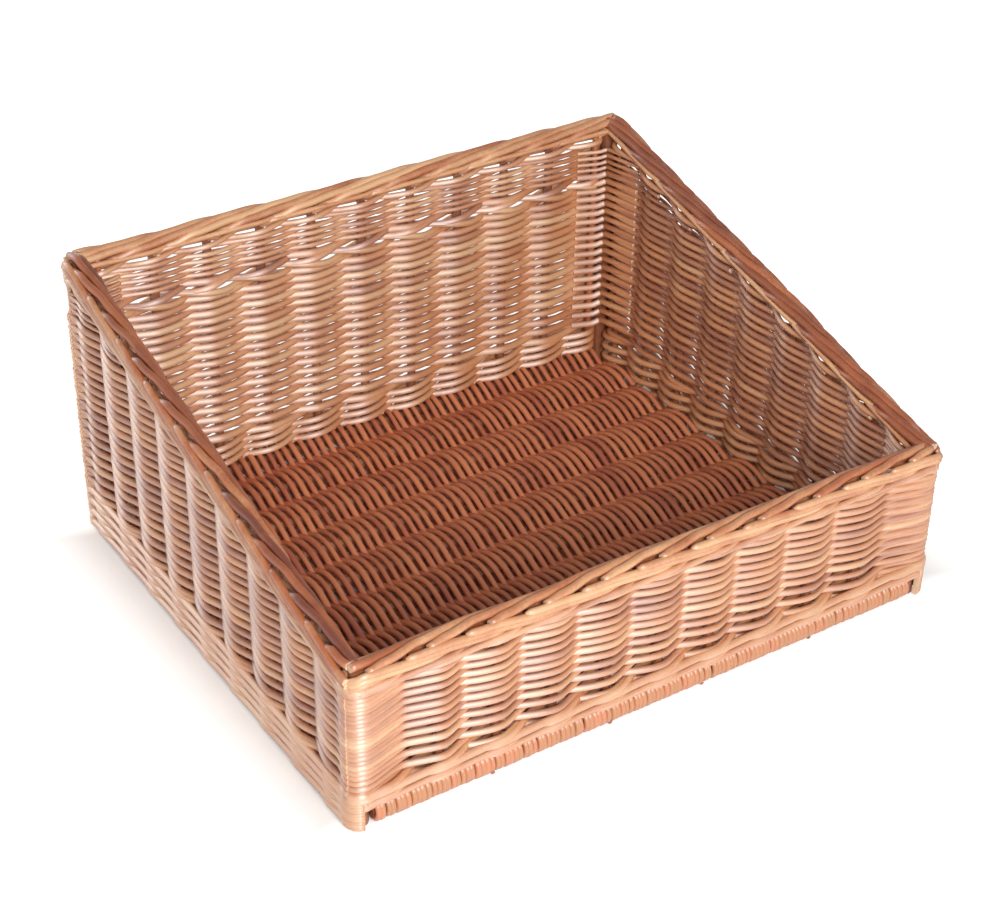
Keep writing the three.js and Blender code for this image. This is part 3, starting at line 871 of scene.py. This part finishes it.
def studioFloor():
    bm = bmesh.new()
    bmesh.ops.create_grid(bm, x_segments=1, y_segments=1, size=studio["floorSize"])
    mesh = bpy.data.meshes.new("studioFloor")
    bm.to_mesh(mesh)
    bm.free()
    floor = bpy.data.objects.new("studioFloor", mesh)
    bpy.context.scene.collection.objects.link(floor)
    material = bpy.data.materials.new("paper sweep, matt white")
    material.use_nodes = True
    tree = material.node_tree
    tree.nodes.clear()
    path = addNode(tree, "ShaderNodeLightPath")
    seen = addNode(tree, "ShaderNodeMath", {"operation": "MAXIMUM"},
                   {0: (path, "Is Camera Ray"), 1: (path, "Is Glossy Ray")})
    seen = addNode(tree, "ShaderNodeMath", {"operation": "MAXIMUM"},
                   {0: (seen, 0), 1: (path, "Is Transmission Ray")})
    coords = addNode(tree, "ShaderNodeTexCoord")
    fromMiddle = addNode(tree, "ShaderNodeVectorMath", {"operation": "ABSOLUTE"}, {0: (coords, "Object")})
    apart = addNode(tree, "ShaderNodeSeparateXYZ", None, {0: (fromMiddle, 0)})
    masks = []
    for ranges in (studio["ground"], studio["away"]):
        pair = []
        for axis, (start, end) in zip("XY", ranges):
            pair.append(addNode(tree, "ShaderNodeMapRange", {"From Min": start, "From Max": end},
                                {"Value": (apart, axis)}))
        masks.append(addNode(tree, "ShaderNodeMath", {"operation": "MAXIMUM"},
                             {0: (pair[0], 0), 1: (pair[1], 0)}))
    beside, away = masks
    lift = addNode(tree, "ShaderNodeMapRange", {"To Min": studio["nearLift"], "To Max": studio["farLift"]},
                   {"Value": (away, 0)})
    lift = addNode(tree, "ShaderNodeMath", {"operation": "MULTIPLY"}, {0: (seen, 0), 1: (lift, 0)})
    lift = addNode(tree, "ShaderNodeMath", {"operation": "MULTIPLY"}, {0: (lift, 0), 1: (beside, 0)})
    paper = addNode(tree, "ShaderNodeBsdfDiffuse", {"Color": linearColour(studio["floorColour"])})
    glow = addNode(tree, "ShaderNodeEmission", {"Color": (1, 1, 1, 1)}, {"Strength": (lift, 0)})
    both = addNode(tree, "ShaderNodeAddShader", None, {0: (paper, 0), 1: (glow, 0)})
    addNode(tree, "ShaderNodeOutputMaterial", None, {"Surface": (both, 0)})
    mesh.materials.append(material)


def studioWorld():
    # a white backdrop all round up to about 30 degrees, under a dimmer ceiling
    world = bpy.data.worlds.new("studio")
    bpy.context.scene.world = world
    world.use_nodes = True
    tree = world.node_tree
    tree.nodes.clear()
    path = addNode(tree, "ShaderNodeLightPath")
    coords = addNode(tree, "ShaderNodeTexCoord")
    apart = addNode(tree, "ShaderNodeSeparateXYZ", None, {0: (coords, "Generated")})
    bottom, top = studio["backdropTop"]
    low = addNode(tree, "ShaderNodeMapRange",
                  {"From Min": bottom, "From Max": top, "To Min": 1.0, "To Max": 0.0},
                  {"Value": (apart, "Z")})
    shiny = addNode(tree, "ShaderNodeMath", {"operation": "MAXIMUM"},
                    {0: (path, "Is Glossy Ray"), 1: (path, "Is Transmission Ray")})
    shiny = addNode(tree, "ShaderNodeMath", {"operation": "MULTIPLY"}, {0: (shiny, 0), 1: (low, 0)})
    seen = addNode(tree, "ShaderNodeMath", {"operation": "MAXIMUM"},
                   {0: (shiny, 0), 1: (path, "Is Camera Ray")})
    strength = addNode(tree, "ShaderNodeMapRange", {"To Min": studio["worldLight"], "To Max": 1.0},
                       {"Value": (seen, 0)})
    sky = addNode(tree, "ShaderNodeBackground", {"Color": (1, 1, 1, 1)}, {"Strength": (strength, 0)})
    addNode(tree, "ShaderNodeOutputWorld", None, {"Surface": (sky, 0)})


def softbox(name, settings):
    azimuth, elevation = math.radians(settings["azimuth"]), math.radians(settings["elevation"])
    data = bpy.data.lights.new(name, "AREA")
    data.shape = "SQUARE"
    data.size = settings["size"]
    data.energy = settings["power"]
    light = bpy.data.objects.new(name, data)
    direction = Vector((math.sin(azimuth) * math.cos(elevation), -math.cos(azimuth) * math.cos(elevation),
                        math.sin(elevation)))
    spot = direction * settings["distance"]
    light.location = spot + Vector(studio["lampTarget"])
    light.rotation_euler = (-spot).to_track_quat("-Z", "Y").to_euler()
    bpy.context.scene.collection.objects.link(light)


def photoCamera():
    yaw, pitch, roll = (math.radians(studio["camera" + turn]) for turn in ("Yaw", "Pitch", "Roll"))
    look = Vector((math.sin(yaw) * math.cos(pitch), math.cos(yaw) * math.cos(pitch), -math.sin(pitch)))
    right = Vector((math.cos(yaw), -math.sin(yaw), 0.0))
    up = right.cross(look)
    turnedRight = math.cos(roll) * right + math.sin(roll) * up
    turnedUp = -math.sin(roll) * right + math.cos(roll) * up
    data = bpy.data.cameras.new("photoCamera")
    data.sensor_fit = "HORIZONTAL"
    data.sensor_width = 36.0
    data.lens = studio["lens"]
    camera = bpy.data.objects.new("photoCamera", data)
    bpy.context.scene.collection.objects.link(camera)
    matrix = camera.matrix_world.copy()
    for row in range(3):
        matrix[row][0] = turnedRight[row]
        matrix[row][1] = turnedUp[row]
        matrix[row][2] = -look[row]
        matrix[row][3] = studio["cameraPlace"][row]
    camera.matrix_world = matrix
    bpy.context.scene.camera = camera


studioFloor()
studioWorld()
for lampName, settings in studio["lamps"].items():
    softbox(lampName, settings)
photoCamera()
bpy.context.scene.view_settings.view_transform = "Standard"
print("studio set")
